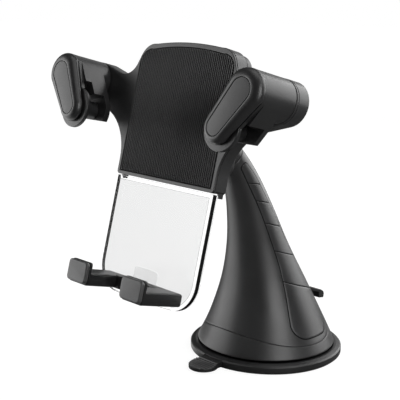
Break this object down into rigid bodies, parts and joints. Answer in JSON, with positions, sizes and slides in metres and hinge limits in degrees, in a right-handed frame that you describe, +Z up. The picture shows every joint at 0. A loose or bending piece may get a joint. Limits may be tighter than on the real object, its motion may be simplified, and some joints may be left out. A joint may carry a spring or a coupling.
{
  "type": "car phone mount",
  "caption": "Car phone mount: flared suction base with ball joint, holding a leaning cradle with swinging side arms and a clear sliding plate with hooked feet.",
  "frame": {"origin": "centre of the suction cup's flat sealing face", "axes": "+Z up, away from the surface that the cup holds; -Y towards the front, where the phone is seen; +X to the right as seen from the front"},
  "size_m": [0.1422, 0.1533, 0.1642],
  "materials": {
    "cup_rubber": "soft semi-gloss",
    "shell_plastic": "satin",
    "grip_rubber": "satin",
    "cradle_plastic": "fine matte",
    "pad_rubber": "ribbed matte",
    "arm_plastic": "satin",
    "inlay_plastic": "satin",
    "foot_rubber": "matte",
    "clear_plastic": "clear",
    "gear_nylon": "matte",
    "inner_plastic": "matte",
    "steel": "plated"
  },
  "bodies": {
    "base": {"suction_cup": "cup_rubber", "base_plate": "inner_plastic", "skirt_ring": "shell_plastic", "cone_shell": "shell_plastic", "grip_strip_right": "grip_rubber", "grip_strip_left": "grip_rubber", "neck_collar": "shell_plastic", "ball_stud": "steel", "cup_spring": "steel"},
    "post": {"cup_post": "inner_plastic", "lever_pin": "steel"},
    "lever": {"vacuum_lever": "shell_plastic"},
    "ball": {"ball_head": "inner_plastic"},
    "liner": {"socket_liner": "inner_plastic"},
    "cradle": {"front_cover": "cradle_plastic", "ribbed_pad": "pad_rubber", "body_housing": "cradle_plastic", "rear_cover": "cradle_plastic", "ball_socket": "inner_plastic", "cover_screws": "steel", "housing_screws": "steel", "idler_pins": "steel", "return_spring": "steel"},
    "nut": {"lock_nut": "shell_plastic"},
    "slider": {"clear_plate": "clear_plastic", "slider_carriage": "inner_plastic", "carriage_screws": "steel", "foot_bracket": "cradle_plastic", "foot_pad_right": "foot_rubber", "foot_pad_left": "foot_rubber"},
    "idler_right": {"idler_gear_right": "gear_nylon"},
    "idler_left": {"idler_gear_left": "gear_nylon"},
    "arm_right": {"arm_gear_right": "gear_nylon", "arm_shaft_right": "steel", "arm_housing_right": "arm_plastic", "arm_flange_right": "arm_plastic", "clamp_post_right": "grip_rubber", "arm_pad_right": "arm_plastic", "arm_inlay_right": "inlay_plastic"},
    "arm_left": {"arm_gear_left": "gear_nylon", "arm_shaft_left": "steel", "arm_housing_left": "arm_plastic", "arm_flange_left": "arm_plastic", "clamp_post_left": "grip_rubber", "arm_pad_left": "arm_plastic", "arm_inlay_left": "inlay_plastic"}
  },
  "joints": [
    {"name": "lever_press", "type": "hinge", "parent": "post", "child": "lever", "pos_m": [0, 0, 0.034], "axis": [-1, 0, 0], "range_deg": [0, 18.05]},
    {"name": "post_lift", "type": "slide", "parent": "base", "child": "post", "axis": [0, 0, 1], "range_m": [0, 0.0018], "deforming": ["cup_spring"]},
    {"name": "ball_swivel", "type": "hinge", "parent": "base", "child": "ball", "pos_m": [0, -0.04317, 0.11997], "axis": [0, -0.729, 0.6845], "range_deg": [-35, 35]},
    {"name": "ball_tilt", "type": "hinge", "parent": "ball", "child": "liner", "pos_m": [0, -0.04317, 0.11997], "axis": [1, 0, 0], "range_deg": [-35, 8]},
    {"name": "cradle_spin", "type": "hinge", "parent": "liner", "child": "cradle", "pos_m": [0, -0.04317, 0.11997], "axis": [0, 0.9703, -0.2419], "continuous": true},
    {"name": "nut_turn", "type": "hinge", "parent": "cradle", "child": "nut", "pos_m": [0, -0.04317, 0.11997], "axis": [0, 0.9703, -0.2419], "range_deg": [0, 270]},
    {"name": "slider_drop", "type": "slide", "parent": "cradle", "child": "slider", "axis": [0, -0.2419, -0.9703], "range_m": [0, 0.00628], "stiffness_N_per_m": 60, "springref_m": -0.01, "deforming": ["return_spring"]},
    {"name": "idler_right_spin", "type": "hinge", "parent": "cradle", "child": "idler_right", "pos_m": [0.0474, -0.06157, 0.13713], "axis": [0, -0.9703, 0.2419], "range_deg": [0, 50.2]},
    {"name": "arm_right_swing", "type": "hinge", "parent": "cradle", "child": "arm_right", "pos_m": [0.0612, -0.06542, 0.14231], "axis": [0, 0.9703, -0.2419], "range_deg": [0, 50.2]},
    {"name": "idler_left_spin", "type": "hinge", "parent": "cradle", "child": "idler_left", "pos_m": [-0.0474, -0.06157, 0.13713], "axis": [0, 0.9703, -0.2419], "range_deg": [0, 50.2]},
    {"name": "arm_left_swing", "type": "hinge", "parent": "cradle", "child": "arm_left", "pos_m": [-0.0612, -0.06542, 0.14231], "axis": [0, -0.9703, 0.2419], "range_deg": [0, 50.2]}
  ],
  "couplings": [
    {"joint": "lever_press", "follows": "post_lift", "rad_per_m": 174.53},
    {"joint": "idler_right_spin", "follows": "slider_drop", "rad_per_m": 138.89},
    {"joint": "arm_right_swing", "follows": "slider_drop", "rad_per_m": 138.89},
    {"joint": "idler_left_spin", "follows": "slider_drop", "rad_per_m": 138.89},
    {"joint": "arm_left_swing", "follows": "slider_drop", "rad_per_m": 138.89}
  ]
}
